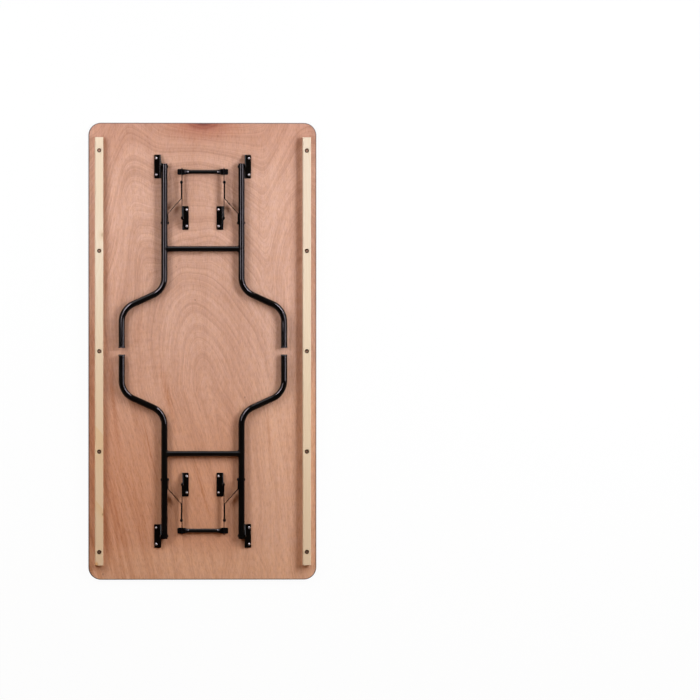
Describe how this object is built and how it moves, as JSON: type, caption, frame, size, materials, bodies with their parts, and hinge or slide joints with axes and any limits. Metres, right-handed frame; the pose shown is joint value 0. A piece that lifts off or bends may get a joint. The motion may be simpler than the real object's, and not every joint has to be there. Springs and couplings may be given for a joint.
{
  "type": "folding trestle table",
  "caption": "Rectangular plywood folding table with edge battens and bent tubular leg frames that fold flat under the top on over-centre stays with lock bars.",
  "frame": {"origin": "middle of the working face, which lies on the floor with the table face down and folded", "axes": "+Z out of the underside, +Y along the table towards end a, +X across the table to the right"},
  "size_m": [0.915, 1.83, 0.054],
  "materials": {
    "plywood": "varnished rotary-cut veneer",
    "pine": "planed softwood",
    "edge_band": "satin moulded band",
    "black_enamel": "gloss black",
    "rivet_steel": "painted over",
    "bolt_steel": "dull zinc",
    "zinc_plate": "bright zinc",
    "foot_plastic": "moulded black"
  },
  "bodies": {
    "table": {"table_top": "plywood", "edge_band": "edge_band", "batten_left": "pine", "batten_right": "pine", "batten_bolts": "bolt_steel", "batten_washers": "zinc_plate", "batten_nuts": "zinc_plate", "bracket_bolts": "bolt_steel", "bracket_cap_nuts": "zinc_plate", "hinge_pins": "rivet_steel", "stay_bracket_rivets": "rivet_steel", "hinge_bracket_left_a": "black_enamel", "hinge_bracket_left_b": "black_enamel", "hinge_bracket_right_a": "black_enamel", "hinge_bracket_right_b": "black_enamel", "stay_bracket_left_a": "black_enamel", "stay_bracket_left_b": "black_enamel", "stay_bracket_right_a": "black_enamel", "stay_bracket_right_b": "black_enamel"},
    "leg_frame_a": {"crossbar_a": "black_enamel", "foot_left_a": "foot_plastic", "foot_right_a": "foot_plastic", "leg_stay_rivets_a": "rivet_steel", "leg_tube_left_a": "black_enamel", "leg_tube_right_a": "black_enamel"},
    "upper_stays_a": {"knee_rivets_a": "rivet_steel", "lock_bar_a": "black_enamel", "upper_stay_left_a": "black_enamel", "upper_stay_right_a": "black_enamel"},
    "lower_stay_left_a": {"lower_stay_left_a": "black_enamel", "stay_end_rivet_left_a": "rivet_steel"},
    "lower_stay_right_a": {"lower_stay_right_a": "black_enamel", "stay_end_rivet_right_a": "rivet_steel"},
    "leg_frame_b": {"crossbar_b": "black_enamel", "foot_left_b": "foot_plastic", "foot_right_b": "foot_plastic", "leg_stay_rivets_b": "rivet_steel", "leg_tube_left_b": "black_enamel", "leg_tube_right_b": "black_enamel"},
    "upper_stays_b": {"knee_rivets_b": "rivet_steel", "lock_bar_b": "black_enamel", "upper_stay_left_b": "black_enamel", "upper_stay_right_b": "black_enamel"},
    "lower_stay_left_b": {"lower_stay_left_b": "black_enamel", "stay_end_rivet_left_b": "rivet_steel"},
    "lower_stay_right_b": {"lower_stay_right_b": "black_enamel", "stay_end_rivet_right_b": "rivet_steel"}
  },
  "joints": [
    {"name": "leg_fold_a", "type": "hinge", "parent": "table", "child": "leg_frame_a", "pos_m": [0, 0.74, 0.03797], "axis": [-1, 0, 0], "range_deg": [0, 90]},
    {"name": "stay_swing_a", "type": "hinge", "parent": "table", "child": "upper_stays_a", "pos_m": [0, 0.534, 0.03797], "axis": [1, 0, 0], "range_deg": [0, 48.05]},
    {"name": "stay_knee_left_a", "type": "hinge", "parent": "upper_stays_a", "child": "lower_stay_left_a", "pos_m": [0, 0.6769, 0.03797], "axis": [-1, 0, 0], "range_deg": [0, 180.75]},
    {"name": "stay_knee_right_a", "type": "hinge", "parent": "upper_stays_a", "child": "lower_stay_right_a", "pos_m": [0, 0.6769, 0.03797], "axis": [-1, 0, 0], "range_deg": [0, 180.75]},
    {"name": "leg_fold_b", "type": "hinge", "parent": "table", "child": "leg_frame_b", "pos_m": [0, -0.74, 0.03797], "axis": [1, 0, 0], "range_deg": [0, 90]},
    {"name": "stay_swing_b", "type": "hinge", "parent": "table", "child": "upper_stays_b", "pos_m": [0, -0.534, 0.03797], "axis": [-1, 0, 0], "range_deg": [0, 48.05]},
    {"name": "stay_knee_left_b", "type": "hinge", "parent": "upper_stays_b", "child": "lower_stay_left_b", "pos_m": [0, -0.6769, 0.03797], "axis": [1, 0, 0], "range_deg": [0, 180.75]},
    {"name": "stay_knee_right_b", "type": "hinge", "parent": "upper_stays_b", "child": "lower_stay_right_b", "pos_m": [0, -0.6769, 0.03797], "axis": [1, 0, 0], "range_deg": [0, 180.75]}
  ],
  "couplings": [
    {"joint": "stay_swing_a", "follows": "leg_fold_a", "ratio": 0.53391},
    {"joint": "stay_knee_left_a", "follows": "leg_fold_a", "ratio": 2.0084},
    {"joint": "stay_knee_right_a", "follows": "leg_fold_a", "ratio": 2.0084},
    {"joint": "stay_swing_b", "follows": "leg_fold_b", "ratio": 0.53391},
    {"joint": "stay_knee_left_b", "follows": "leg_fold_b", "ratio": 2.0084},
    {"joint": "stay_knee_right_b", "follows": "leg_fold_b", "ratio": 2.0084}
  ]
}
